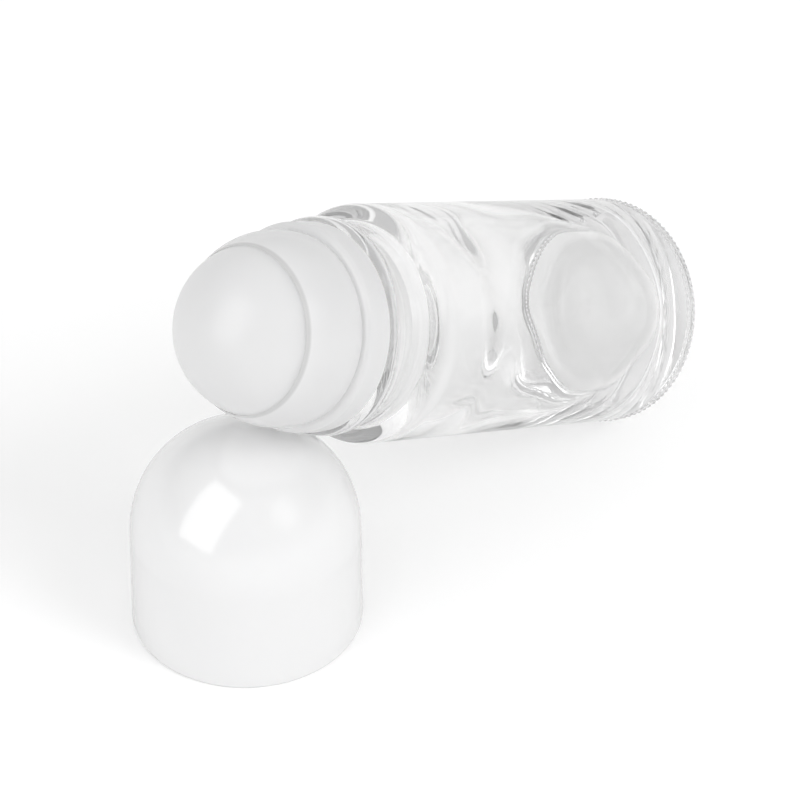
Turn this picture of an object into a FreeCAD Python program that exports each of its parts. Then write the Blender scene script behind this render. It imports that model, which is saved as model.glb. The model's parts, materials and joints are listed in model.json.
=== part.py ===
"""Glass roll-on bottle with a ball in a plug-in housing, lying on its dome cap.

The cap stands mouth down with its rim on Z = 0. The bottle leans along X: its heel touches Z = 0 and
the bead of its neck rests on the cap's dome, with the ball end over the cap. The origin is on Z = 0, in
the middle of the length that the two cover.
"""
import FreeCAD, Part
import os
import re
import Sketcher

# Lengths are in millimetres, rest_turn is in degrees.
SIZES = [
    ("ball_radius", 14.29, "ball, 1 1/8 in across"),
    ("ball_wall", 1.6, "wall of the hollow ball"),
    ("ball_clearance", 0.12, "gap between ball and socket"),
    ("grip_height", 4.55, "socket's mouth above the ball's centre"),
    ("socket_wall", 1.44, "wall of the socket at the dome's foot"),
    ("mouth_land", 0.54, "width of the lip round the ball"),
    ("mouth_round", 1.0, "height of the lip's slope"),
    ("dome_rise", 11.0, "housing dome, foot to mouth"),
    ("dome_curve", 15.3, "radius of the dome's side"),
    ("feed_radius", 8.5, "hole under the ball"),
    ("groove_width", 0.3, "groove between flange and dome"),
    ("groove_depth", 0.25, "groove, into the dome's foot"),
    ("flange_step", 1.4, "flange, past the dome's foot"),
    ("flange_height", 5.05, "flange, along the bottle"),
    ("flange_edge", 1.1, "rounding of the flange's upper edge"),
    ("plug_length", 7.4, "plug, into the neck"),
    ("plug_wall", 1.2, "wall of the plug"),
    ("plug_clearance", 0.25, "gap between plug and bore"),
    ("seal_clearance", 0.02, "gap between a seal ring and the bore"),
    ("seal_half_width", 0.6, "half the width of a seal ring"),
    ("first_seal_share", 0.25, "upper seal ring's place along the plug"),
    ("second_seal_share", 0.6, "lower seal ring's place along the plug"),
    ("flange_overhang", 0.35, "flange, past the flat of the glass lip"),
    ("bead_flare", 1.2, "neck bead, past the flat of the glass lip"),
    ("bead_step", 1.0, "neck bead, past the neck"),
    ("bead_drop", 1.6, "neck bead, crest to neck"),
    ("lip_rise", 2.4, "neck bead's crest to the glass lip"),
    ("neck_length", 7.5, "shoulder to the neck bead's crest"),
    ("neck_wall", 2.4, "glass at the neck"),
    ("neck_fillet", 0.5, "hollow between neck and shoulder"),
    ("bore_edge", 0.5, "rounding of the bore's edge"),
    ("shoulder_radius", 2.4, "rounding of the shoulder"),
    ("body_height", 70.9, "base to the shoulder's start"),
    ("heel_radius", 3.8, "rounding of the heel"),
    ("bearing_width", 3.2, "flat ring that the bottle stands on"),
    ("push_up", 1.4, "hollow of the base"),
    ("floor_thickness", 8.0, "glass of the base"),
    ("floor_corner", 4.5, "rounding inside the base"),
    ("swell_height", 26.0, "floor to where the wall starts to thicken"),
    ("swell_curve", 150.0, "radius of the thickening wall"),
    ("inner_step", 2.9, "inside of the body, past the bore"),
    ("inner_shoulder", 6.5, "length over which the bore widens"),
    ("cap_wall", 1.3, "wall of the cap"),
    ("cap_clearance", 0.28, "gap between cap and neck bead"),
    ("cap_taper", 0.28, "cap's skirt, narrowing up to the dome"),
    ("cap_gap", 0.2, "closed cap's rim above the shoulder"),
    ("cap_headroom", 0.65, "closed cap's inside above the ball"),
    ("rim_round", 0.4, "rounding of the cap's rim"),
    ("snap_grip", 0.25, "cap's snap ring, inside the bead's crest"),
    ("snap_drop", 1.7, "snap ring below the bead's crest, cap closed"),
    ("snap_half_width", 0.9, "half the width of the snap ring"),
    ("press_radius", 5.0, "ring in the cap that holds the ball down"),
    ("press_width", 0.9, "width of that ring"),
    ("press_gap", 0.05, "closed cap's ring above the ball"),
    ("rest_gap", 0.15, "gap between neck bead and cap dome as the bottle lies"),
    ("rest_turn", 2.8, "angle between the bead's crest and the resting point"),
]

DERIVED = [
    # Radii, worked outwards from the ball
    ("socket_radius", "ball_radius + ball_clearance"),
    ("mouth_radius", "sqrt(socket_radius ^ 2 - grip_height ^ 2)"),
    ("dome_foot", "socket_radius + socket_wall"),
    ("groove_radius", "dome_foot - groove_depth"),
    ("flange_radius", "dome_foot + flange_step"),
    ("lip_radius", "flange_radius - flange_overhang"),
    ("bead_radius", "lip_radius + bead_flare"),
    ("neck_radius", "bead_radius - bead_step"),
    ("bore_radius", "neck_radius - neck_wall"),
    ("plug_radius", "bore_radius - plug_clearance"),
    ("plug_inner", "plug_radius - plug_wall"),
    ("seal_rise", "plug_clearance - seal_clearance"),
    ("inner_radius", "bore_radius + inner_step"),
    ("body_radius", "neck_radius + neck_fillet + shoulder_radius"),
    ("bearing_outer", "body_radius - heel_radius"),
    ("bearing_inner", "bearing_outer - bearing_width"),
    # Heights above the bottle's base
    ("shoulder_top", "body_height + shoulder_radius"),
    ("neck_foot", "shoulder_top + neck_fillet"),
    ("bead_height", "shoulder_top + neck_length"),
    ("lip_height", "bead_height + lip_rise"),
    ("inner_low", "neck_foot - inner_shoulder"),
    ("flange_top", "lip_height + flange_height"),
    ("dome_low", "flange_top + groove_width"),
    ("mouth_height", "dome_low + dome_rise"),
    ("ball_height", "mouth_height - grip_height"),
    ("plug_end", "lip_height - plug_length"),
    ("first_seal", "lip_height - plug_length * first_seal_share"),
    ("second_seal", "lip_height - plug_length * second_seal_share"),
    # Radii of arcs that end on given points
    ("push_up_curve", "(bearing_inner ^ 2 + push_up ^ 2) / (2 * push_up)"),
    ("bead_lower_curve", "(bead_step ^ 2 + bead_drop ^ 2) / (2 * bead_step)"),
    ("bead_upper_curve", "(bead_flare ^ 2 + lip_rise ^ 2) / (2 * bead_flare)"),
    ("inner_curve", "(inner_shoulder ^ 2 + inner_step ^ 2) / (4 * inner_step)"),
    ("seal_curve", "(seal_half_width ^ 2 + seal_rise ^ 2) / (2 * seal_rise)"),
    # Inside of the base: the thickening wall runs smoothly into the corner's rounding
    ("swell_top", "floor_thickness + swell_height"),
    ("swell_centre", "inner_radius - swell_curve"),
    ("corner_apart", "swell_curve - floor_corner"),
    ("corner_drop", "swell_height - floor_corner"),
    ("corner_run", "sqrt(corner_apart ^ 2 - corner_drop ^ 2)"),
    ("corner_across", "swell_centre + corner_run * swell_curve / corner_apart"),
    ("corner_up", "swell_top - corner_drop * swell_curve / corner_apart"),
    # Cap, in its own heights above its rim
    ("cap_inner", "bead_radius + cap_clearance"),
    ("cap_radius", "cap_inner + cap_wall"),
    ("cap_top_radius", "cap_radius - cap_taper"),
    ("cap_top_inner", "cap_top_radius - cap_wall"),
    ("cap_seat", "shoulder_top + cap_gap"),
    ("cap_height", "ball_height + ball_radius + cap_headroom + cap_wall - cap_seat"),
    ("cap_centre", "cap_height - cap_top_radius"),
    ("cap_slope", "cap_taper / cap_centre"),
    ("snap_height", "bead_height - snap_drop - cap_seat"),
    ("snap_upper", "snap_height + snap_half_width"),
    ("snap_lower", "snap_height - snap_half_width"),
    ("snap_rise", "cap_clearance + snap_grip - cap_slope * snap_height"),
    ("snap_curve", "(snap_half_width ^ 2 + snap_rise ^ 2) / (2 * snap_rise)"),
    ("press_inner", "press_radius - press_width"),
    ("press_low", "ball_height + sqrt(ball_radius ^ 2 - press_inner ^ 2) + press_gap - cap_seat"),
    # The lying bottle: heel on the floor, neck bead on the dome
    ("turn", "rest_turn * 1 deg"),
    ("rest_reach", "cap_top_radius + rest_gap + bead_upper_curve"),
    ("bead_centre", "bead_radius - bead_upper_curve"),
    ("lean_run", "bead_height - heel_radius + rest_reach * sin(turn)"),
    ("lean_rise", "rest_reach * cos(turn) + bead_centre - bearing_outer"),
    ("lean", "asin((cap_centre - heel_radius) / hypot(lean_run; lean_rise)) + atan(lean_rise / lean_run)"),
    ("cap_to_base", "rest_reach * sin(lean + turn) + bead_height * cos(lean) + bead_centre * sin(lean)"),
    ("far_end", "cap_to_base + bearing_outer * sin(lean) + heel_radius * (1 - cos(lean))"),
    ("cap_x", "(cap_radius - far_end) / 2"),
    ("base_x", "cap_x + cap_to_base"),
    ("base_z", "bearing_outer * cos(lean) + heel_radius * (1 - sin(lean))"),
]

doc = FreeCAD.newDocument("RollOnBottle")
sheet = doc.addObject("Spreadsheet::Sheet", "Sizes")
for row, (alias, value, note) in enumerate(SIZES, start=1):
    sheet.set(f"A{row}", note)
    sheet.set(f"B{row}", str(value))
    sheet.setAlias(f"B{row}", alias)
for row, (alias, formula) in enumerate(DERIVED, start=len(SIZES) + 1):
    sheet.set(f"B{row}", "=" + formula)
    sheet.setAlias(f"B{row}", alias)
doc.recompute()

ALIASES = {entry[0] for entry in SIZES + DERIVED}
PLACES = ("edge", "start", "end")
START, END = PLACES.index("start"), PLACES.index("end")
ORIGIN = (-1, 1)
UNSOLVED = 1.0


def bound(text):
    """The formula with every alias pointed at the sheet."""
    return re.sub(r"[a-z_]+", lambda word: f"Sizes.{word[0]}" if word[0] in ALIASES else word[0], text)


def tie(sketch, kind, target, text):
    """Holds a point of the sketch at a distance from its origin that the sheet gives."""
    index = sketch.addConstraint(Sketcher.Constraint(kind, *ORIGIN, *target, UNSOLVED))
    sketch.setExpression(f"Constraints[{index}]", bound(text))


def corner(sketch, across, up):
    """Adds a construction point at (across, up), each a formula or None for zero."""
    index = sketch.addGeometry(Part.Point(FreeCAD.Vector()), True)
    if across is None:
        sketch.addConstraint(Sketcher.Constraint("Vertical", *ORIGIN, index, START))
    else:
        tie(sketch, "DistanceX", (index, START), across)
    if up is None:
        sketch.addConstraint(Sketcher.Constraint("Horizontal", *ORIGIN, index, START))
    else:
        tie(sketch, "DistanceY", (index, START), up)
    return index


def edge_between(start, end, alias, turn):
    """A straight edge, or the arc of that radius that turns left (1) or right (-1) on its way."""
    if alias is None:
        return Part.LineSegment(start, end)
    radius = float(getattr(sheet, alias))
    half = (end - start) / 2
    left = FreeCAD.Vector(-half.y, half.x, 0).normalize()
    away = (radius ** 2 - half.Length ** 2) ** 0.5
    centre = start + half + left * away * turn
    middle = centre - left * radius * turn
    return Part.Arc(start, middle, end)


def outline(body, name, corners):
    """A closed sketch on the body's XZ plane.

    Each corner is (across, up), or (across, up, radius alias, turn) where an arc leaves it.
    """
    sketch = body.newObject("Sketcher::SketchObject", name)
    plane = next(item for item in body.Origin.OriginFeatures if item.Role == "XZ_Plane")
    sketch.AttachmentSupport = (plane, [""])
    sketch.MapMode = "FlatFace"
    points = [corner(sketch, *entry[:2]) for entry in corners]
    doc.recompute()
    places = [FreeCAD.Vector(sketch.Geometry[index].X, sketch.Geometry[index].Y, 0) for index in points]
    for number, entry in enumerate(corners):
        after = (number + 1) % len(corners)
        alias, turn = entry[2:] if len(entry) > 2 else (None, 0)
        curve = edge_between(places[number], places[after], alias, turn)
        index = sketch.addGeometry(curve, False)
        ends = (START, END)
        if alias is not None and turn < 0:
            ends = (END, START)
        for end, point in zip(ends, (points[number], points[after])):
            sketch.addConstraint(Sketcher.Constraint("Coincident", index, end, point, START))
        if alias is not None:
            held = sketch.addConstraint(Sketcher.Constraint("Radius", index, float(getattr(sheet, alias))))
            sketch.setExpression(f"Constraints[{held}]", bound(alias))
    return sketch


def turned_body(label, corners):
    """A body turned about its own Z axis from one closed outline."""
    body = doc.addObject("PartDesign::Body", label)
    body.Label = label
    sketch = outline(body, label + "_outline", corners)
    turning = body.newObject("PartDesign::Revolution", label + "_turning")
    turning.Profile = sketch
    turning.ReferenceAxis = (sketch, ["V_Axis"])
    turning.Angle = 360
    doc.recompute()
    return body


def lay_down(part, along):
    """Puts a bottle piece in the leaning pose, its own zero at that height above the base."""
    turned = FreeCAD.Rotation(FreeCAD.Vector(0, -1, 0), UNSOLVED)
    part.Placement = FreeCAD.Placement(FreeCAD.Vector(), turned)
    part.setExpression("Placement.Rotation.Angle", bound("90 deg - lean"))
    part.setExpression("Placement.Base.x", bound(f"base_x - {along} * cos(lean)"))
    part.setExpression("Placement.Base.z", bound(f"base_z + {along} * sin(lean)"))


# Glass bottle: base, heel, side, shoulder, neck with its bead and lip, then the inside down to the floor
glass_bottle = turned_body("glass_bottle", [
    (None, "push_up", "push_up_curve", -1),
    ("bearing_inner", None),
    ("bearing_outer", None, "heel_radius", 1),
    ("body_radius", "heel_radius"),
    ("body_radius", "body_height", "shoulder_radius", 1),
    ("neck_radius + neck_fillet", "shoulder_top", "neck_fillet", -1),
    ("neck_radius", "neck_foot"),
    ("neck_radius", "bead_height - bead_drop", "bead_lower_curve", 1),
    ("bead_radius", "bead_height", "bead_upper_curve", 1),
    ("lip_radius", "lip_height"),
    ("bore_radius + bore_edge", "lip_height", "bore_edge", 1),
    ("bore_radius", "lip_height - bore_edge"),
    ("bore_radius", "neck_foot", "inner_curve", 1),
    ("bore_radius + inner_step / 2", "neck_foot - inner_shoulder / 2", "inner_curve", -1),
    ("inner_radius", "inner_low"),
    ("inner_radius", "swell_top", "swell_curve", -1),
    ("corner_across", "corner_up", "floor_corner", -1),
    ("swell_centre + corner_run", "floor_thickness"),
    (None, "floor_thickness"),
])
lay_down(glass_bottle, "0")

# Ball housing: plug with two seal rings, flange on the glass lip, groove, dome with the socket inside
ball_housing = turned_body("ball_housing", [
    ("plug_inner", "plug_end"),
    ("plug_radius", "plug_end"),
    ("plug_radius", "second_seal - seal_half_width", "seal_curve", 1),
    ("plug_radius", "second_seal + seal_half_width"),
    ("plug_radius", "first_seal - seal_half_width", "seal_curve", 1),
    ("plug_radius", "first_seal + seal_half_width"),
    ("plug_radius", "lip_height"),
    ("flange_radius", "lip_height"),
    ("flange_radius", "flange_top - flange_edge", "flange_edge", 1),
    ("flange_radius - flange_edge", "flange_top"),
    ("groove_radius", "flange_top"),
    ("groove_radius", "dome_low"),
    ("dome_foot", "dome_low", "dome_curve", 1),
    ("mouth_radius + mouth_land", "mouth_height - mouth_round"),
    ("mouth_radius", "mouth_height", "socket_radius", -1),
    ("feed_radius", "ball_height - sqrt(socket_radius ^ 2 - feed_radius ^ 2)"),
    ("feed_radius", "ball_height - sqrt(dome_foot ^ 2 - feed_radius ^ 2)", "dome_foot", 1),
    ("plug_inner", "ball_height - sqrt(dome_foot ^ 2 - plug_inner ^ 2)"),
])
lay_down(ball_housing, "0")

# Roller ball: a hollow sphere
ball_skin = doc.addObject("Part::Sphere", "ball_skin")
ball_skin.setExpression("Radius", bound("ball_radius"))
ball_hollow = doc.addObject("Part::Sphere", "ball_hollow")
ball_hollow.setExpression("Radius", bound("ball_radius - ball_wall"))
roller_ball = doc.addObject("Part::Cut", "roller_ball")
roller_ball.Label = "roller_ball"
roller_ball.Base = ball_skin
roller_ball.Tool = ball_hollow
lay_down(roller_ball, "ball_height")

# Dome cap: rim, drafted skirt, half-round dome, then the inside with its press ring and snap ring
dome_cap = turned_body("dome_cap", [
    ("cap_inner + rim_round", None),
    ("cap_radius - rim_round", None, "rim_round", 1),
    ("cap_radius", "rim_round"),
    ("cap_top_radius", "cap_centre", "cap_top_radius", 1),
    (None, "cap_height"),
    (None, "cap_height - cap_wall", "cap_top_inner", -1),
    ("press_inner", "cap_centre + sqrt(cap_top_inner ^ 2 - press_inner ^ 2)"),
    ("press_inner", "press_low"),
    ("press_radius", "press_low"),
    ("press_radius", "cap_centre + sqrt(cap_top_inner ^ 2 - press_radius ^ 2)", "cap_top_inner", -1),
    ("cap_top_inner", "cap_centre"),
    ("cap_inner - cap_slope * snap_upper", "snap_upper", "snap_curve", 1),
    ("cap_inner - cap_slope * snap_lower", "snap_lower"),
    ("cap_inner", "rim_round", "rim_round", 1),
])
dome_cap.setExpression("Placement.Base.x", bound("cap_x"))

doc.recompute()
pieces = [glass_bottle, ball_housing, roller_ball, dome_cap]
faults = [item.Name for item in doc.Objects if {"Invalid", "Error"} & set(item.State)]
faults += [piece.Label for piece in pieces if piece.Shape.isNull() or not piece.Shape.isValid()]
if faults:
    raise RuntimeError("these did not build: " + ", ".join(faults))

os.makedirs("parts", exist_ok=True)
for piece in pieces:
    piece.Shape.exportStep(f"parts/{piece.Label}.step")
    box = piece.Shape.optimalBoundingBox(True, False)
    print(f"{piece.Label}: {len(piece.Shape.Solids)} solid, {piece.Shape.Volume:.1f} mm3, "
          f"x {box.XMin:.2f} to {box.XMax:.2f}, y {box.YMin:.2f} to {box.YMax:.2f}, "
          f"z {box.ZMin:.2f} to {box.ZMax:.2f}")
print(f"lean {float(sheet.lean):.2f} degrees, "
      f"base centre at x {float(sheet.base_x):.2f}, z {float(sheet.base_z):.2f}")
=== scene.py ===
"""Looks of a clear glass roll-on bottle that lies with its neck on its own dome cap."""
import json
import math

import bmesh
import bpy
from bpy.props import FloatProperty, FloatVectorProperty, IntProperty, PointerProperty
from mathutils import Matrix, Vector


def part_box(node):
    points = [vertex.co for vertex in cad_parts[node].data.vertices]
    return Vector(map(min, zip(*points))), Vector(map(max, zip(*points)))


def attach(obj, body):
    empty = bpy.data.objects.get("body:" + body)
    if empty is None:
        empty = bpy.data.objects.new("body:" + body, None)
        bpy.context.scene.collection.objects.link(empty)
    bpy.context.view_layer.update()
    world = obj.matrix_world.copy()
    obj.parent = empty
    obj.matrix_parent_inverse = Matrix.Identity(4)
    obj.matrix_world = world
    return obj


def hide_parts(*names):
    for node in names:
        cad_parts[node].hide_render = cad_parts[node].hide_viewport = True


bl_info = {
    "name": "Roll-on Bottle",
    "version": (1, 0, 0),
    "blender": (4, 5, 0),
    "location": "3D View > Sidebar > Roll-on",
    "description": "Glass roll-on bottle with its ball housing, ball and dome cap",
    "category": "Add Mesh",
}

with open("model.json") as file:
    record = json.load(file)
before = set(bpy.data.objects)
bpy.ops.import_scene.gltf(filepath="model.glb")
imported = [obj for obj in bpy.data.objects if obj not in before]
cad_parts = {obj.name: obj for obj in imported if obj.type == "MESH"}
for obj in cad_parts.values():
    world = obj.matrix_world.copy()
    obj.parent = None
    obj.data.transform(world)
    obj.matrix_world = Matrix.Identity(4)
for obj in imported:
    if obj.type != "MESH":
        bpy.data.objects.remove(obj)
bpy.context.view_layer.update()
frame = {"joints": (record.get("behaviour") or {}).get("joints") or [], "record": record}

# The bottle's axis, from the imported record: out of the base's face, through the ball's centre
MOUNTS = {mount["name"]: mount for mount in frame["record"]["mounts"]}
JOINTS = {joint["name"]: joint for joint in frame["joints"]}
BALL_CENTRE = Vector(JOINTS["ball_roll"]["pos_m"])
BOTTLE_AXIS = -Vector(MOUNTS["bottle_base"]["axis"]).normalized()
BALL_HEIGHT = (BALL_CENTRE - Vector(MOUNTS["bottle_base"]["pos_m"])).dot(BOTTLE_AXIS)
CAP_LOW, CAP_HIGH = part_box("dome_cap")
CAP_CENTRE = (CAP_LOW + CAP_HIGH) / 2
MM = 0.001
FULL_TURN = 2 * math.pi

# Which way an arc turns, and its step
LEFT, RIGHT = 1, -1
ARC_STEP = math.radians(4)
# Steps of a turned piece, and of the ball
ROUND_STEPS, BALL_STEPS = 192, 160
# Angle between faces past which their edge is a crease
CREASE = math.radians(32)
# Points this near are one point, and points this near a wall lie on it
WELD, SLACK = 0.002 * MM, 0.01 * MM

# Lobes of the inner wall, the power they fade by, and the turns at which they and the core's shift start
LOBES, LOBE_FADE = 6, 4
LOBE_TURN, CORE_TURN = math.radians(57), math.radians(115)
# Share of the lobes that is even all round, and share that leans with the core
LOBE_EVEN, LOBE_LEAN = 0.65, 0.35
# Thick spots of the blown wall: turn about the axis in degrees, then height, depth and spread in millimetres
THICK_SPOTS = (
    (171, 12.5, 1.8, 5.0),
    (30, 9.5, 0.3, 5.5),
    (25, 26, 0.2, 7.0),
    (188, 34, 1.0, 6.0),
    (95, 30, 0.8, 7.0),
    (-60, 28, 0.8, 7.0),
    (-19, 55.5, 0.42, 5.0),
    (10, 54, 0.4, 5.0),
    (-80, 52, 0.22, 6.0),
)

# Waves of the glass, in cycles per metre, and their height
GLASS_WAVES, WAVE_HEIGHT = 140, 0.02 * MM
# Clouds of painted shade and light in the tint of the thick base, standing for the floor's shadows and bright
# patches seen through it, in cycles per metre, with their least strength and its span
BASE_SHADE_CLOUDS, CLOUD_LEAST, CLOUD_SPAN = 55, 0.25, 1.5
# Where that tint fades out, above the base and off the axis
TINT_HEIGHTS = (10 * MM, 20 * MM)
TINT_RADII = (13.5 * MM, 17.5 * MM)
# Density at which a tint of the glass holds for a centimetre
PER_CENTIMETRE = 100.0

# Clouds and grain of the plastics, in cycles per metre, and the grain's height
PLASTIC_CLOUDS, PLASTIC_GRAIN, GRAIN_HEIGHT = 90, 2600, 0.004 * MM
# What the clouds and the grain add to the roughness, and the roughness of a glossy coat
CLOUD_GLOSS, GRAIN_GLOSS, COAT_ROUGHNESS = 0.06, 0.03, 0.12

# Watts per square metre of a softbox whose light is 1
LAMP_POWER = 4
# Core and edge of a lit side of the room, as parts of its spread
CORE_PART, EDGE_PART = 0.5, 1.5
# Half the floor's width in metres, and its gap under the heel
FLOOR_REACH, FLOOR_GAP = 3.0, 0.02 * MM
# The camera's sensor in millimetres, and its nearest sight in metres
SENSOR_WIDTH, NEAREST = 36, 0.01


def size(label, note, millimetres):
    """A length of the model, shown in the scene's unit."""
    return FloatProperty(
        name=label, description=note, default=millimetres * MM, min=0, precision=5, unit="LENGTH")


def share(label, note, default):
    """A share from 0 to 1."""
    return FloatProperty(name=label, description=note, default=default, min=0, max=1, subtype="FACTOR")


def tint(label, note, default):
    """A colour of a surface."""
    return FloatVectorProperty(
        name=label, description=note, default=default, size=3, min=0, max=1, subtype="COLOR")


def angle(label, note, degrees):
    """A direction or a turn."""
    return FloatProperty(name=label, description=note, default=math.radians(degrees), subtype="ANGLE")


def strength(label, note, default):
    """A lamp's strength."""
    return FloatProperty(name=label, description=note, default=default, min=0)


def count(label, note, default, least=0):
    """A number of like things."""
    return IntProperty(name=label, description=note, default=default, min=least)


class GlassSizes(bpy.types.PropertyGroup):
    body_radius: size("Body radius", "Outside of the straight body", 20.0)
    body_height: size("Body height", "Base to the shoulder's start", 70.9)
    shoulder_radius: size("Shoulder radius", "Rounding of the shoulder", 2.4)
    heel_radius: size("Heel radius", "Rounding between the base and the side", 3.8)
    bearing_width: size("Bearing width", "Flat ring that the bottle stands on", 3.2)
    push_up: size("Push-up", "Hollow under the base", 1.4)
    floor_thickness: size("Floor thickness", "Glass of the base", 8.0)
    floor_corner: size("Floor corner", "Rounding between the floor and the wall inside", 4.5)
    swell_height: size("Swell height", "Floor to where the wall starts to thicken", 26.0)
    swell_curve: size("Swell curve", "Radius of the thickening wall", 150.0)
    inner_radius: size("Inner radius", "Inside of the straight body", 17.6)
    inner_shoulder: size("Inner shoulder", "Length over which the bore widens", 6.5)
    neck_radius: size("Neck radius", "Outside of the neck", 17.1)
    neck_fillet: size("Neck fillet", "Hollow between neck and shoulder", 0.5)
    neck_length: size("Neck length", "Shoulder to the bead's crest", 7.5)
    bead_step: size("Bead step", "Bead, past the neck", 1.0)
    bead_drop: size("Bead drop", "Bead's crest to the neck", 1.6)
    bead_flare: size("Bead flare", "Bead, past the flat of the lip", 1.2)
    lip_rise: size("Lip rise", "Bead's crest to the lip", 2.4)
    bore_radius: size("Bore radius", "Inside of the neck", 14.7)
    bore_edge: size("Bore edge", "Rounding of the bore's edge", 0.5)
    lobe_depth: size("Lobe depth", "Waves of the inner wall round the floor", 0.9)
    core_shift: size("Core shift", "Inside of the base, off the bottle's axis", 0.9)
    wave_depth: size("Wave depth", "Ring round the inside where the glass settled", 0.2)
    wave_height: size("Wave height", "Base to that ring", 56.0)
    wave_spread: size("Wave spread", "Reach of that ring along the bottle", 4.0)
    stipple_height: size("Stipple height", "Height of the dots round the heel", 0.24)
    stipple_radius: size("Stipple radius", "Half the width of a dot", 0.5)
    stipple_low: size("Lower stipple", "Base to the lower row, round the heel", 5.0)
    stipple_high: size("Upper stipple", "Base to the upper row, round the heel", 6.75)
    stipple_rise: size("Stipple rise", "Reach of the dots above the heel", 1.5)
    stipple_count: count("Stipple count", "Dots in one row round the heel", 104, 3)


class HousingSizes(bpy.types.PropertyGroup):
    dome_foot: size("Dome foot", "Radius of the dome at its foot", 15.85)
    dome_rise: size("Dome rise", "Dome's foot to the mouth", 11.0)
    dome_curve: size("Dome curve", "Radius of the dome's side", 15.3)
    mouth_land: size("Mouth land", "Width of the lip round the ball", 0.54)
    mouth_round: size("Mouth round", "Height of the lip's slope", 1.0)
    grip_height: size("Grip height", "Mouth above the ball's centre", 4.55)
    socket_radius: size("Socket radius", "Hollow that the ball turns in", 14.41)
    feed_radius: size("Feed radius", "Hole under the ball", 8.5)
    groove_width: size("Groove width", "Groove between flange and dome", 0.3)
    groove_depth: size("Groove depth", "Groove, into the dome's foot", 0.15)
    flange_radius: size("Flange radius", "Outside of the flange", 17.25)
    flange_height: size("Flange height", "Flange, along the bottle", 5.05)
    flange_edge: size("Flange edge", "Rounding of the flange's upper edge", 1.1)
    plug_radius: size("Plug radius", "Outside of the plug", 14.45)
    plug_inner: size("Plug inner", "Inside of the plug", 13.25)
    plug_length: size("Plug length", "Plug, into the neck", 7.4)
    seal_rise: size("Seal rise", "Seal rings, past the plug", 0.23)
    seal_half_width: size("Seal half width", "Half the width of a seal ring", 0.6)
    first_seal: share("First seal", "Upper seal ring's place along the plug", 0.25)
    second_seal: share("Second seal", "Lower seal ring's place along the plug", 0.6)
    seat_gap: size("Seat gap", "Flange above the glass lip", 0.03)


class BallSizes(bpy.types.PropertyGroup):
    radius: size("Radius", "Outside of the ball", 14.29)
    seam_rise: size("Seam rise", "Weld line round the ball's middle", 0.02)
    seam_width: size("Seam width", "Width of the weld line", 0.3)


class CapSizes(bpy.types.PropertyGroup):
    wall: size("Wall", "Wall of the cap", 1.3)
    taper: size("Taper", "Skirt, narrowing up to the dome", 0.28)
    rim_round: size("Rim round", "Rounding of the rim", 0.4)
    snap_height: size("Snap height", "Snap ring above the rim", 5.6)
    snap_rise: size("Snap rise", "Snap ring, past the wall", 0.44)
    snap_half_width: size("Snap half width", "Half the width of the snap ring", 0.9)
    press_radius: size("Press radius", "Ring that holds the ball down", 5.0)
    press_width: size("Press width", "Width of that ring", 0.9)
    press_drop: size("Press drop", "Ring's lower edge below the cap's top", 2.5)


class Finishes(bpy.types.PropertyGroup):
    glass: tint("Glass", "Tint of the clear glass", (0.99, 0.99, 0.99))
    # Darker tint of the thick base: partly the glass's own thickness, partly painted shade of the shadowed
    # floor seen through the base.
    glass_thick_and_shade: tint("Glass, deeper", "Tint of the thick base", (0.71, 0.71, 0.71))
    glass_loss: tint("Glass loss", "Light that is left after a centimetre of glass", (0.96, 0.96, 0.96))
    housing: tint("Housing", "Milky plastic of the ball housing", (0.727, 0.727, 0.727))
    housing_deep: tint("Housing, deeper", "Milky plastic where it is denser", (0.697, 0.697, 0.702))
    # Painted shade: the lip's grey ring stands for the shade in the gap between the thin lip and the ball.
    lip: tint("Lip", "Thin edge of the housing round the ball", (0.55, 0.55, 0.55))
    # Painted light: the plug is made lighter to stand for light coming through its thin wall from both sides.
    plug: tint("Plug", "Thin plug in the neck, lit from both sides", (0.93, 0.93, 0.93))
    ball: tint("Ball", "Plastic of the ball", (0.735, 0.735, 0.735))
    ball_deep: tint("Ball, deeper", "Ball where it is denser", (0.715, 0.715, 0.72))
    cap: tint("Cap", "White plastic of the cap", (0.84, 0.84, 0.84))
    cap_deep: tint("Cap, deeper", "Cap where it is denser", (0.82, 0.82, 0.825))
    floor: tint("Floor", "Paper under the bottle", (0.95, 0.95, 0.95))
    floor_gloss: tint("Floor in gloss", "Paper as gloss mirrors it", (0.78, 0.78, 0.78))


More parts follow.
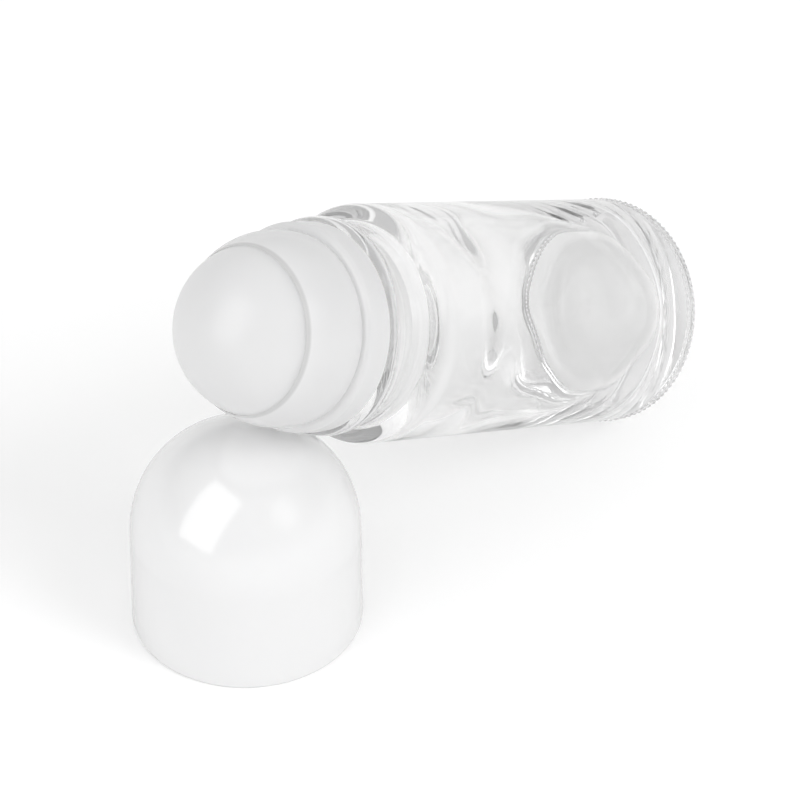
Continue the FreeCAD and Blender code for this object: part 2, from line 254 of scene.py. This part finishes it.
class StageSettings(bpy.types.PropertyGroup):
    eye: FloatVectorProperty(
        name="Camera place", description="Where the camera stands", size=3, unit="LENGTH", precision=5,
        default=(-0.330766, -0.33316, 0.403413))
    heading: angle("Heading", "Camera's turn about the vertical", -44.54)
    pitch: angle("Pitch", "Camera's look down", 38.94)
    roll: angle("Roll", "Camera's turn about its own line of sight", 0.5)
    lens: FloatProperty(
        name="Lens", description="Focal length on a 36 mm sensor", default=157.5, unit="CAMERA")
    bounces: count("Bounces", "Light's turns in the thick glass", 40)
    room_light: share("Room light", "Light from all round", 0.745)
    gloss_light: share("Gloss light", "Room as gloss mirrors it", 0.25)
    gloss_key: share("Gloss key", "Key light as gloss mirrors it", 0.8)
    glass_light: share("Glass light", "Lit side of the room as it shows through the glass", 1.0)
    glass_dark: share("Glass dark", "Unlit side of the room as it shows through the glass", 0.62)
    bright_height: angle("Bright height", "Elevation of the lit side of the room", 12)
    bright_spread: angle("Bright spread", "Reach of the lit side of the room", 52)
    top_spread: angle("Top spread", "Reach of the lit ceiling that shows through the glass", 30)
    sweep_light: share("Sweep light", "The paper's white as gloss mirrors it", 0.85)
    sweep_rise: share("Sweep rise", "How far up the paper's white shows in gloss", 0.4)
    shadow_pass: share("Shadow pass", "Lamp light that one face of the glass lets on", 0.7)
    room_pass: share("Room pass", "Room light that one face of the glass lets on", 0.85)
    milky_pass: share("Milky pass", "Room light that one face of the milky plastic lets on", 0.85)
    floor_glow: share("Floor glow", "Lift of the paper's own white", 0.06)
    lamp_distance: size("Lamp distance", "Softboxes from the bottle", 1600)
    lamp_apart: size("Lamp apart", "Lamp that shows in gloss, before the one that gives light", 20)
    left_heading: angle("Left heading", "Direction of the left softbox", 176)
    left_height: angle("Left height", "Elevation of the left softbox", 41)
    left_width: angle("Left width", "Spread of the left softbox", 40)
    left_rise: angle("Left rise", "Upright spread of the left softbox", 58)
    left_light: strength("Left light", "Light from the left softbox", 0.8)
    left_shine: strength("Left shine", "Left softbox as gloss mirrors it", 1.4)
    right_heading: angle("Right heading", "Direction of the right softbox", -74)
    right_height: angle("Right height", "Elevation of the right softbox", 40)
    right_width: angle("Right width", "Spread of the right softbox", 24)
    right_rise: angle("Right rise", "Upright spread of the right softbox", 32)
    right_light: strength("Right light", "Light from the right softbox", 3.1)


def settings(name):
    """One of the scene's groups of values."""
    return getattr(bpy.context.scene, "rollon_" + name)


class Outline:
    """Half section of a turned piece in the XZ plane, drawn by one moving point and spun about Z."""

    def __init__(self, across, up):
        self.bm = bmesh.new()
        self.tip = self.bm.verts.new((across, 0, up))

    def line(self, across, up, pieces=1):
        """Draws a straight edge to the given place."""
        start, end = self.tip.co.copy(), Vector((across, 0, up))
        for number in range(1, pieces + 1):
            made = bmesh.ops.extrude_vert_indiv(self.bm, verts=[self.tip])
            self.tip = made["verts"][0]
            self.tip.co = start.lerp(end, number / pieces)
        return self

    def arc(self, across, up, radius, turn, step=ARC_STEP):
        """Draws an arc of that radius to the given place, turning left or right."""
        start, end = self.tip.co.copy(), Vector((across, 0, up))
        half = (end - start) / 2
        left = Vector((-half.z, 0, half.x)).normalized()
        centre = start + half + left * math.sqrt(max(radius ** 2 - half.length_squared, 0)) * turn
        swept = 2 * math.asin(min(half.length / radius, 1))
        steps = max(2, round(swept / step))
        made = bmesh.ops.spin(
            self.bm, geom=[self.tip], cent=centre, axis=(0, -1, 0), angle=swept * turn, steps=steps)
        self.tip = next(item for item in made["geom_last"] if isinstance(item, bmesh.types.BMVert))
        self.tip.co = end
        return self

    def turned(self, segments):
        """Spins the outline into a closed shell and hands over its mesh."""
        ends = [vert for vert in self.bm.verts if len(vert.link_edges) == 1]
        if len(ends) == 2 and max(vert.co.x for vert in ends) > WELD:
            self.bm.edges.new(ends)
        bmesh.ops.spin(
            self.bm, geom=self.bm.verts[:] + self.bm.edges[:], cent=(0, 0, 0), axis=(0, 0, 1),
            angle=FULL_TURN, steps=segments, use_merge=True)
        bmesh.ops.remove_doubles(self.bm, verts=self.bm.verts[:], dist=WELD)
        bmesh.ops.recalc_face_normals(self.bm, faces=self.bm.faces[:])
        return self.bm


def lying_bottle(height=0.0):
    """Carries the bottle's own frame, its Z up the axis from the base, to where the bottle lies."""
    side = Vector((0, 1, 0))
    turn = Matrix((side.cross(BOTTLE_AXIS), side, BOTTLE_AXIS)).transposed().to_4x4()
    return Matrix.Translation(BALL_CENTRE + BOTTLE_AXIS * (height - BALL_HEIGHT)) @ turn


def finished(bm, name, place, material, body, node):
    """Puts the mesh in its place as a piece that stands for a CAD node."""
    bmesh.ops.transform(bm, matrix=place, verts=bm.verts[:])
    mesh = bpy.data.meshes.new(name)
    bm.to_mesh(mesh)
    bm.free()
    mesh.shade_smooth()
    mesh.set_sharp_from_angle(angle=CREASE)
    mesh.materials.append(material)
    piece = bpy.data.objects.new(name, mesh)
    bpy.context.scene.collection.objects.link(piece)
    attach(piece, body)
    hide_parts(node)
    return piece


class Val:
    """A number in a shader: arithmetic on it adds Math nodes."""

    def __init__(self, paint, socket):
        self.paint = paint
        self.socket = socket

    def __add__(self, other):
        return self.paint.math("ADD", self, other)

    __radd__ = __add__

    def __sub__(self, other):
        return self.paint.math("SUBTRACT", self, other)

    def __rsub__(self, other):
        return self.paint.math("SUBTRACT", other, self)

    def __mul__(self, other):
        return self.paint.math("MULTIPLY", self, other)

    __rmul__ = __mul__


class Paint:
    """The nodes of one material or of the world."""

    def __init__(self, owner):
        owner.use_nodes = True
        self.tree = owner.node_tree
        self.tree.nodes.clear()

    def node(self, kind, values=None, out=0, stops=None, **options):
        """Adds a node: its options and a ramp's stops first, then its sockets' values or links."""
        made = self.tree.nodes.new(kind)
        for key, value in options.items():
            setattr(made, key, value)
        if stops:
            for number, (position, colour) in enumerate(stops):
                ramp = made.color_ramp.elements
                stop = ramp[number] if number < len(ramp) else ramp.new(position)
                stop.position = position
                stop.color = (*colour, 1)
        for key, value in (values or {}).items():
            if isinstance(value, Val):
                self.tree.links.new(value.socket, made.inputs[key])
            else:
                made.inputs[key].default_value = value
        return Val(self, made.outputs[out]) if made.outputs else made

    def math(self, operation, *terms):
        return self.node("ShaderNodeMath", dict(enumerate(terms)), operation=operation)

    def path(self, kind):
        """Whether the ray is of that kind."""
        return self.node("ShaderNodeLightPath", out=kind)

    def noise(self, scale, detail=2.0):
        place = self.node("ShaderNodeTexCoord", out="Object")
        return self.node("ShaderNodeTexNoise", {"Vector": place, "Scale": scale, "Detail": detail})

    def vector(self, operation, *terms, out="Vector"):
        return self.node("ShaderNodeVectorMath", dict(enumerate(terms)), out=out, operation=operation)

    def step(self, value, low, high, below=0.0, above=1.0):
        """A smooth step of a value from one level to another."""
        return self.node("ShaderNodeMapRange", {
            "Value": value, "From Min": low, "From Max": high, "To Min": below, "To Max": above},
            interpolation_type="SMOOTHSTEP")

    def from_base(self):
        """Where the surface is, seen from the middle of the bottle's base."""
        base = BALL_CENTRE - BOTTLE_AXIS * BALL_HEIGHT
        return self.vector("SUBTRACT", self.node("ShaderNodeTexCoord", out="Object"), base)

    def along_bottle(self, start, full):
        """From 0 to 1 between two heights above the bottle's base."""
        along = self.vector("DOT_PRODUCT", self.from_base(), BOTTLE_AXIS, out="Value")
        low, high = sorted((start, full))
        return self.step(along, low, high, float(start > full), float(start < full))

    def off_axis(self, near, far):
        """From 0 to 1 between two distances from the bottle's axis."""
        arm = self.vector("CROSS_PRODUCT", self.from_base(), BOTTLE_AXIS)
        return self.step(self.vector("LENGTH", arm, out="Value"), near, far)

    def blend(self, factor, first, second):
        """A ramp from one colour to the other."""
        return self.node("ShaderNodeValToRGB", {"Fac": factor}, stops=[(0.0, first), (1.0, second)])

    def bump(self, height, distance):
        return self.node("ShaderNodeBump", {"Height": height, "Distance": distance, "Strength": 1.0})

    def surface(self, values, inside=None):
        """Ends the material with its surface and, in glass, with what lies between its faces."""
        shaders = {"Surface": self.node("ShaderNodeBsdfPrincipled", values)}
        if inside:
            shaders["Volume"] = inside
        self.node("ShaderNodeOutputMaterial", shaders)


def clear_glass():
    """Clear container glass with the faint waves of a blown surface and a cloudy tint in its thick base: a
    darker tint with clouds of painted shade and light, which stand for the floor's shadows and bright patches
    seen through the base.
    """
    material = bpy.data.materials.new("clear_glass")
    paint = Paint(material)
    colours, stage = settings("finishes"), settings("stage")
    # Mask of the thick base, low down and near the axis, where the darker tint and its clouds of painted
    # shade and light go.
    base = (1 - paint.along_bottle(*TINT_HEIGHTS)) * (1 - paint.off_axis(*TINT_RADII))
    painted_shade_clouds = CLOUD_LEAST + CLOUD_SPAN * paint.noise(BASE_SHADE_CLOUDS, 1.0)
    lamp_passed = paint.path("Is Shadow Ray") * stage.shadow_pass
    room_passed = paint.path("Is Diffuse Ray") * stage.room_pass
    inside = paint.node("ShaderNodeVolumeAbsorption", {
        "Color": (*colours.glass_loss, 1), "Density": PER_CENTIMETRE})
    paint.surface({
        "Base Color": paint.blend(base * painted_shade_clouds, colours.glass, colours.glass_thick_and_shade),
        "Roughness": 0.0,
        "IOR": 1.52,
        "Transmission Weight": 1.0,
        "Alpha": 1 - lamp_passed - room_passed,
        "Normal": paint.bump(paint.noise(GLASS_WAVES, 1.0), WAVE_HEIGHT),
    }, inside)
    return material


def moulded_plastic(name, light, deep, roughness, milky, depth, coat=0.0, painted_shade_and_light_bands=(), clear=0.0):
    """Moulded plastic of cloudy density, with a fine skin and uneven gloss; bands along the bottle get tints
    of painted shade and painted light.
    """
    material = bpy.data.materials.new(name)
    paint = Paint(material)
    cloud = paint.noise(PLASTIC_CLOUDS, 3.0)
    grain = paint.noise(PLASTIC_GRAIN)
    colour = paint.blend(cloud, light, deep)
    # Mixes in the bands of painted shade and painted light, each between two heights along the bottle.
    for start, full, painted_tint in painted_shade_and_light_bands:
        colour = paint.node("ShaderNodeMixRGB", {
            "Fac": paint.along_bottle(start, full), "Color1": colour, "Color2": (*painted_tint, 1)})
    passed = {"Alpha": 1 - paint.path("Is Diffuse Ray") * clear} if clear else {}
    paint.surface({
        **passed,
        "Base Color": colour,
        "Roughness": roughness + CLOUD_GLOSS * (cloud - 0.5) + GRAIN_GLOSS * (grain - 0.5),
        "IOR": 1.5,
        "Coat Weight": coat,
        "Coat Roughness": COAT_ROUGHNESS,
        "Subsurface Weight": milky,
        "Subsurface Radius": (1.0, 1.0, 1.0),
        "Subsurface Scale": depth,
        "Normal": paint.bump(grain, GRAIN_HEIGHT),
    })
    return material


def swell_inside(bm, glass):
    """Makes the inside uneven like blown glass: an off-centre core, lobes, a settled ring and thick spots."""
    low, top = glass.floor_thickness, glass.body_height - glass.inner_shoulder
    for vert in bm.verts:
        radius = math.hypot(vert.co.x, vert.co.y)
        if radius > glass.inner_radius + SLACK or not low - SLACK < vert.co.z < top:
            continue
        around = math.atan2(vert.co.y, vert.co.x)
        fade = (1 - (vert.co.z - low) / (top - low)) ** LOBE_FADE
        lean = math.cos(around - CORE_TURN)
        lobes = math.cos(LOBES * (around - LOBE_TURN)) * (LOBE_EVEN + LOBE_LEAN * lean)
        reach = min(radius / glass.inner_radius, 1) ** 2
        push = fade * reach * (glass.lobe_depth * lobes - glass.core_shift * lean)
        push -= glass.wave_depth * math.exp(-((vert.co.z - glass.wave_height) / glass.wave_spread) ** 2)
        for turn, height, depth, spread in THICK_SPOTS:
            across = math.remainder(around - math.radians(turn), FULL_TURN) * radius
            away = math.hypot(across, vert.co.z - height * MM) / (spread * MM)
            push -= depth * MM * reach * math.exp(-away ** 2)
        grown = 1 + push / radius if radius else 1
        vert.co.x *= grown
        vert.co.y *= grown


def stipple_heel(bm, glass):
    """Raises two staggered rows of dots round the heel, placed by their way up the surface from the base."""
    centre_radius, bend = glass.body_radius - glass.heel_radius, glass.heel_radius * math.pi / 2

    def way_up(point):
        radius = math.hypot(point.x, point.y)
        if radius < centre_radius or point.z > glass.heel_radius + glass.stipple_rise:
            return 0.0
        if point.z > glass.heel_radius:
            return bend + point.z - glass.heel_radius
        return glass.heel_radius * math.atan2(radius - centre_radius, glass.heel_radius - point.z)

    rows = [glass.stipple_low, glass.stipple_high]
    low, high = rows[0] - 2 * glass.stipple_radius, rows[1] + 2 * glass.stipple_radius
    band = [edge for edge in bm.edges if all(low < way_up(vert.co) < high for vert in edge.verts)]
    bmesh.ops.subdivide_edges(bm, edges=band, cuts=2, use_grid_fill=True)
    pitch = FULL_TURN / glass.stipple_count
    for vert in bm.verts:
        way = way_up(vert.co)
        if way == 0.0:
            continue
        radius = math.hypot(vert.co.x, vert.co.y)
        tilt = min(way, bend) / glass.heel_radius
        outward = Vector((
            vert.co.x / radius * math.sin(tilt), vert.co.y / radius * math.sin(tilt), -math.cos(tilt)))
        around = math.atan2(vert.co.y, vert.co.x) / pitch
        rise = 0.0
        for number, row in enumerate(rows):
            nearest = round(around - number / 2) + number / 2
            away = math.hypot((around - nearest) * pitch * radius, way - row)
            if away < glass.stipple_radius:
                rise = glass.stipple_height * math.cos(away / glass.stipple_radius * math.pi / 2)
        vert.co += outward * rise


class ROLLON_OT_glass_bottle(bpy.types.Operator):
    """Turns the glass bottle, with its uneven inside and the dots round its heel"""
    bl_idname = "rollon.glass_bottle"
    bl_label = "Glass Bottle"

    def execute(self, context):
        glass = settings("glass")
        bearing_outer = glass.body_radius - glass.heel_radius
        bearing_inner = bearing_outer - glass.bearing_width
        shoulder_top = glass.body_height + glass.shoulder_radius
        neck_foot = shoulder_top + glass.neck_fillet
        crest = shoulder_top + glass.neck_length
        crest_radius = glass.neck_radius + glass.bead_step
        lip = crest + glass.lip_rise
        inner_low = neck_foot - glass.inner_shoulder
        inner_step = glass.inner_radius - glass.bore_radius
        push_up_curve = (bearing_inner ** 2 + glass.push_up ** 2) / (2 * glass.push_up)
        lower_curve = (glass.bead_step ** 2 + glass.bead_drop ** 2) / (2 * glass.bead_step)
        upper_curve = (glass.bead_flare ** 2 + glass.lip_rise ** 2) / (2 * glass.bead_flare)
        inner_curve = (glass.inner_shoulder ** 2 + inner_step ** 2) / (4 * inner_step)
        outline = Outline(0, glass.push_up)
        outline.arc(bearing_inner, 0, push_up_curve, RIGHT, ARC_STEP / 8)
        outline.line(bearing_outer, 0, pieces=3)
        outline.arc(glass.body_radius, glass.heel_radius, glass.heel_radius, LEFT)
        outline.line(glass.body_radius, glass.heel_radius + glass.stipple_rise, pieces=5)
        outline.line(glass.body_radius, glass.body_height, pieces=8)
        outline.arc(glass.neck_radius + glass.neck_fillet, shoulder_top, glass.shoulder_radius, LEFT)
        outline.arc(glass.neck_radius, neck_foot, glass.neck_fillet, RIGHT, 2 * ARC_STEP)
        outline.line(glass.neck_radius, crest - glass.bead_drop, pieces=2)
        outline.arc(crest_radius, crest, lower_curve, LEFT)
        outline.arc(crest_radius - glass.bead_flare, lip, upper_curve, LEFT)
        outline.line(glass.bore_radius + glass.bore_edge, lip)
        outline.arc(glass.bore_radius, lip - glass.bore_edge, glass.bore_edge, LEFT, 2 * ARC_STEP)
        outline.line(glass.bore_radius, neck_foot, pieces=3)
        outline.arc(
            glass.bore_radius + inner_step / 2, neck_foot - glass.inner_shoulder / 2, inner_curve, LEFT)
        outline.arc(glass.inner_radius, inner_low, inner_curve, RIGHT)
        swell_top = glass.floor_thickness + glass.swell_height
        swell_centre = glass.inner_radius - glass.swell_curve
        nearer = glass.swell_curve - glass.floor_corner
        corner_drop = glass.swell_height - glass.floor_corner
        corner_run = math.sqrt(nearer ** 2 - corner_drop ** 2)
        outline.line(glass.inner_radius, swell_top, pieces=36)
        outline.arc(
            swell_centre + corner_run * glass.swell_curve / nearer,
            swell_top - corner_drop * glass.swell_curve / nearer, glass.swell_curve, RIGHT, ARC_STEP / 6)
        outline.arc(swell_centre + corner_run, glass.floor_thickness, glass.floor_corner, RIGHT)
        outline.line(0, glass.floor_thickness, pieces=12)
        bm = outline.turned(2 * glass.stipple_count)
        swell_inside(bm, glass)
        stipple_heel(bm, glass)
        finished(bm, "bottle_glass", lying_bottle(), clear_glass(), "bottle", "glass_bottle")
        return {"FINISHED"}


class ROLLON_OT_ball_housing(bpy.types.Operator):
    """Turns the milky housing that holds the ball and plugs the neck"""
    bl_idname = "rollon.ball_housing"
    bl_label = "Ball Housing"

    def execute(self, context):
        house = settings("housing")
        mouth = BALL_HEIGHT + house.grip_height
        mouth_radius = math.sqrt(house.socket_radius ** 2 - house.grip_height ** 2)
        dome_low = mouth - house.dome_rise
        flange_top = dome_low - house.groove_width
        seat = flange_top - house.flange_height
        plug_end = seat - house.plug_length
        seal_curve = (house.seal_half_width ** 2 + house.seal_rise ** 2) / (2 * house.seal_rise)
        outline = Outline(house.plug_inner, plug_end)
        outline.line(house.plug_radius, plug_end)
        for place in (house.second_seal, house.first_seal):
            middle = seat - house.plug_length * place
            outline.line(house.plug_radius, middle - house.seal_half_width)
            outline.arc(house.plug_radius, middle + house.seal_half_width, seal_curve, LEFT)
        outline.line(house.plug_radius, seat + house.seat_gap)
        outline.line(house.flange_radius, seat + house.seat_gap)
        outline.line(house.flange_radius, flange_top - house.flange_edge)
        outline.arc(house.flange_radius - house.flange_edge, flange_top, house.flange_edge, LEFT)
        outline.line(house.dome_foot - house.groove_depth, flange_top)
        outline.line(house.dome_foot - house.groove_depth, dome_low)
        outline.line(house.dome_foot, dome_low)
        outline.arc(mouth_radius + house.mouth_land, mouth - house.mouth_round, house.dome_curve, LEFT)
        outline.line(mouth_radius, mouth)
        outline.arc(
            house.feed_radius, BALL_HEIGHT - math.sqrt(house.socket_radius ** 2 - house.feed_radius ** 2),
            house.socket_radius, RIGHT)
        outline.line(
            house.feed_radius, BALL_HEIGHT - math.sqrt(house.dome_foot ** 2 - house.feed_radius ** 2))
        outline.arc(
            house.plug_inner, BALL_HEIGHT - math.sqrt(house.dome_foot ** 2 - house.plug_inner ** 2),
            house.dome_foot, LEFT)
        colours = settings("finishes")
        # Bands of painted shade and light: a darker ring at the mouth for the shaded gap between the thin lip
        # and the ball, and a lighter plug below the seat for light coming through its thin wall.
        painted_shade_and_light_bands = (
            (mouth - house.mouth_round, mouth - house.mouth_round / 2, colours.lip),
            (seat + house.seat_gap, seat - house.seat_gap, colours.plug))
        plastic = moulded_plastic(
            "natural_plastic", colours.housing, colours.housing_deep, roughness=0.22, milky=0.35, depth=MM,
            painted_shade_and_light_bands=painted_shade_and_light_bands, clear=settings("stage").milky_pass)
        bm = outline.turned(ROUND_STEPS)
        finished(bm, "housing", lying_bottle(), plastic, "bottle", "ball_housing")
        return {"FINISHED"}


class ROLLON_OT_roller_ball(bpy.types.Operator):
    """Turns the ball with its weld line"""
    bl_idname = "rollon.roller_ball"
    bl_label = "Roller Ball"

    def execute(self, context):
        ball = settings("ball")
        outline = Outline(0, -ball.radius)
        seam = ball.seam_width / 2
        level = math.sqrt(ball.radius ** 2 - seam ** 2)
        outline.arc(level, -seam, ball.radius, LEFT, ARC_STEP / 2)
        outline.line(ball.radius + ball.seam_rise, 0)
        outline.line(level, seam)
        outline.arc(0, ball.radius, ball.radius, LEFT, ARC_STEP / 2)
        bm = outline.turned(BALL_STEPS)
        colours = settings("finishes")
        plastic = moulded_plastic(
            "ball_plastic", colours.ball, colours.ball_deep, roughness=0.3, milky=0.9, depth=6 * MM,
            clear=settings("stage").milky_pass)
        finished(bm, "ball", lying_bottle(BALL_HEIGHT), plastic, "ball", "roller_ball")
        return {"FINISHED"}


class ROLLON_OT_dome_cap(bpy.types.Operator):
    """Turns the white dome cap with its snap ring and press ring"""
    bl_idname = "rollon.dome_cap"
    bl_label = "Dome Cap"

    def execute(self, context):
        cap = settings("cap")
        radius, height = (CAP_HIGH.x - CAP_LOW.x) / 2, CAP_HIGH.z - CAP_LOW.z
        inner = radius - cap.wall
        top_radius = radius - cap.taper
        top_inner = top_radius - cap.wall
        centre = height - top_radius
        slope = cap.taper / centre
        snap_curve = (cap.snap_half_width ** 2 + cap.snap_rise ** 2) / (2 * cap.snap_rise)
        press_inner = cap.press_radius - cap.press_width
        press_low = height - cap.press_drop
        outline = Outline(inner + cap.rim_round, 0)
        outline.line(radius - cap.rim_round, 0)
        outline.arc(radius, cap.rim_round, cap.rim_round, LEFT, 2 * ARC_STEP)
        outline.line(top_radius, centre, pieces=4)
        outline.arc(0, height, top_radius, LEFT, ARC_STEP / 2)
        outline.line(0, height - cap.wall)
        outline.arc(press_inner, centre + math.sqrt(top_inner ** 2 - press_inner ** 2), top_inner, RIGHT)
        outline.line(press_inner, press_low)
        outline.line(cap.press_radius, press_low)
        outline.line(cap.press_radius, centre + math.sqrt(top_inner ** 2 - cap.press_radius ** 2))
        outline.arc(top_inner, centre, top_inner, RIGHT)
        upper, lower = cap.snap_height + cap.snap_half_width, cap.snap_height - cap.snap_half_width
        outline.line(inner - slope * upper, upper, pieces=2)
        outline.arc(inner - slope * lower, lower, snap_curve, LEFT)
        outline.line(inner, cap.rim_round)
        outline.arc(inner + cap.rim_round, 0, cap.rim_round, LEFT, 2 * ARC_STEP)
        colours = settings("finishes")
        plastic = moulded_plastic(
            "white_plastic", colours.cap, colours.cap_deep, roughness=0.15, milky=0.2, depth=MM, coat=0.8)
        place = Matrix.Translation((CAP_CENTRE.x, CAP_CENTRE.y, CAP_LOW.z))
        bm = outline.turned(ROUND_STEPS)
        finished(bm, "cap", place, plastic, "cap", "dome_cap")
        return {"FINISHED"}


def toward(heading, elevation):
    """Direction from the bottle to something at that heading and elevation."""
    level = math.cos(elevation)
    return Vector((math.cos(heading) * level, math.sin(heading) * level, math.sin(elevation)))


def softbox(name, side, light, shown=False, shadow=True):
    """A large soft lamp on that side that lights the bottle, or only shows in gloss and glass."""
    stage = settings("stage")
    lamp = bpy.data.lights.new(name, "AREA")
    lamp.shape = "RECTANGLE"
    lamp.size = 2 * stage.lamp_distance * math.tan(getattr(stage, side + "_width") / 2)
    lamp.size_y = 2 * stage.lamp_distance * math.tan(getattr(stage, side + "_rise") / 2)
    lamp.energy = LAMP_POWER * lamp.size * lamp.size_y * light
    lamp.use_shadow = shadow
    holder = bpy.data.objects.new(name, lamp)
    bpy.context.scene.collection.objects.link(holder)
    away = toward(getattr(stage, side + "_heading"), getattr(stage, side + "_height"))
    level = Vector((0, 0, 1)).cross(away).normalized()
    turn = Matrix((level, away.cross(level), away)).transposed().to_4x4()
    holder.matrix_world = Matrix.Translation(away * (stage.lamp_distance - shown * stage.lamp_apart)) @ turn
    holder.visible_camera = False
    holder.visible_diffuse = not shown
    holder.visible_glossy = holder.visible_transmission = shown


def studio_world():
    """White to the camera; glass shows a room lit from the left and above, and gloss a dimmer one."""
    stage = settings("stage")
    world = bpy.data.worlds.new("studio")
    bpy.context.scene.world = world
    paint = Paint(world)
    seen = paint.node("ShaderNodeTexCoord", out="Generated")

    def lobe(heading, height, spread, away, near):
        side = paint.vector("DOT_PRODUCT", seen, toward(heading, height), out="Value")
        return paint.step(side, math.cos(EDGE_PART * spread), math.cos(CORE_PART * spread), away, near)

    unlit, lit = stage.glass_dark, stage.glass_light
    room = paint.math(
        "MAXIMUM",
        lobe(stage.left_heading, stage.bright_height, stage.bright_spread, unlit, lit),
        lobe(0, math.pi / 2, stage.top_spread, unlit, lit))
    gloss = lobe(
        stage.right_heading, stage.right_height, stage.right_width / 2, stage.gloss_light, stage.gloss_key)
    height = paint.node("ShaderNodeSeparateXYZ", {"Vector": seen}, out="Z")
    sweep = paint.step(height, 0.0, stage.sweep_rise, 1.0, 0.0)
    gloss = gloss + sweep * (stage.sweep_light - gloss)
    direct = 1 - paint.math("MINIMUM", paint.path("Diffuse Depth"), 1.0)
    mirrored = stage.room_light + paint.path("Is Glossy Ray") * direct * (gloss - stage.room_light)
    level = mirrored + paint.path("Is Transmission Ray") * direct * (room - mirrored)
    light = paint.node("ShaderNodeBackground", {
        "Color": paint.math("MAXIMUM", level, paint.path("Is Camera Ray")), "Strength": 1.0})
    paint.node("ShaderNodeOutputWorld", {"Surface": light})


def floor_paper():
    """White paper whose own white shows to the camera, and so in glass and, dimmer, in gloss."""
    stage = settings("stage")
    paper = bpy.data.materials.new("floor_paper")
    paint = Paint(paper)
    colours = settings("finishes")
    gloss, through = paint.path("Is Glossy Ray"), paint.path("Is Transmission Ray")
    shown = paint.math("MAXIMUM", paint.math("MAXIMUM", gloss, through), paint.path("Is Camera Ray"))
    paint.surface({
        "Base Color": paint.blend(gloss * (1 - through), colours.floor, colours.floor_gloss),
        "Roughness": 0.9, "Specular IOR Level": 0.1,
        "Emission Color": stage.floor_glow * shown, "Emission Strength": 1.0})
    return paper


class ROLLON_OT_stage(bpy.types.Operator):
    """Lays the floor and sets up the world, the lamps and the camera"""
    bl_idname = "rollon.stage"
    bl_label = "Stage"

    def execute(self, context):
        scene = context.scene
        stage = settings("stage")
        bm = bmesh.new()
        bmesh.ops.create_grid(bm, x_segments=1, y_segments=1, size=FLOOR_REACH)
        bmesh.ops.translate(bm, vec=(0, 0, -FLOOR_GAP), verts=bm.verts[:])
        mesh = bpy.data.meshes.new("floor")
        bm.to_mesh(mesh)
        bm.free()
        mesh.materials.append(floor_paper())
        floor = bpy.data.objects.new("floor", mesh)
        scene.collection.objects.link(floor)

        studio_world()
        softbox("key", "right", stage.right_light)
        softbox("fill", "left", stage.left_light, shadow=False)
        softbox("window", "left", stage.left_shine, shown=True)

        lens = bpy.data.cameras.new("camera")
        lens.lens = stage.lens
        lens.sensor_width = SENSOR_WIDTH
        lens.clip_start = NEAREST
        camera = bpy.data.objects.new("camera", lens)
        scene.collection.objects.link(camera)
        camera.matrix_world = (
            Matrix.Translation(stage.eye)
            @ Matrix.Rotation(stage.heading, 4, "Z")
            @ Matrix.Rotation(math.pi / 2 - stage.pitch, 4, "X")
            @ Matrix.Rotation(stage.roll, 4, "Z"))
        scene.camera = camera
        scene.cycles.max_bounces = stage.bounces
        scene.cycles.transmission_bounces = stage.bounces
        scene.cycles.glossy_bounces = stage.bounces
        scene.cycles.transparent_max_bounces = stage.bounces
        scene.view_settings.view_transform = "Standard"
        return {"FINISHED"}


OPERATORS = (
    ROLLON_OT_glass_bottle,
    ROLLON_OT_ball_housing,
    ROLLON_OT_roller_ball,
    ROLLON_OT_dome_cap,
    ROLLON_OT_stage,
)
GROUPS = {
    "glass": GlassSizes,
    "housing": HousingSizes,
    "ball": BallSizes,
    "cap": CapSizes,
    "finishes": Finishes,
    "stage": StageSettings,
}


class ROLLON_PT_panel(bpy.types.Panel):
    """Lists the pieces and their values"""
    bl_idname = "ROLLON_PT_panel"
    bl_label = "Roll-on Bottle"
    bl_space_type = "VIEW_3D"
    bl_region_type = "UI"
    bl_category = "Roll-on"

    def draw(self, context):
        for operator in OPERATORS:
            self.layout.operator(operator.bl_idname)
        for name, group in GROUPS.items():
            box = self.layout.box()
            box.label(text=name.capitalize())
            for value in group.__annotations__:
                box.prop(settings(name), value)


def register():
    for group in GROUPS.values():
        bpy.utils.register_class(group)
    for name, group in GROUPS.items():
        setattr(bpy.types.Scene, "rollon_" + name, PointerProperty(type=group))
    for kind in (*OPERATORS, ROLLON_PT_panel):
        bpy.utils.register_class(kind)


def unregister():
    for kind in (ROLLON_PT_panel, *reversed(OPERATORS)):
        bpy.utils.unregister_class(kind)
    for name, group in GROUPS.items():
        delattr(bpy.types.Scene, "rollon_" + name)
        bpy.utils.unregister_class(group)


def main():
    register()
    bpy.ops.rollon.glass_bottle()
    bpy.ops.rollon.ball_housing()
    bpy.ops.rollon.roller_ball()
    bpy.ops.rollon.dome_cap()
    bpy.ops.rollon.stage()


if __name__ == "__main__":
    main()
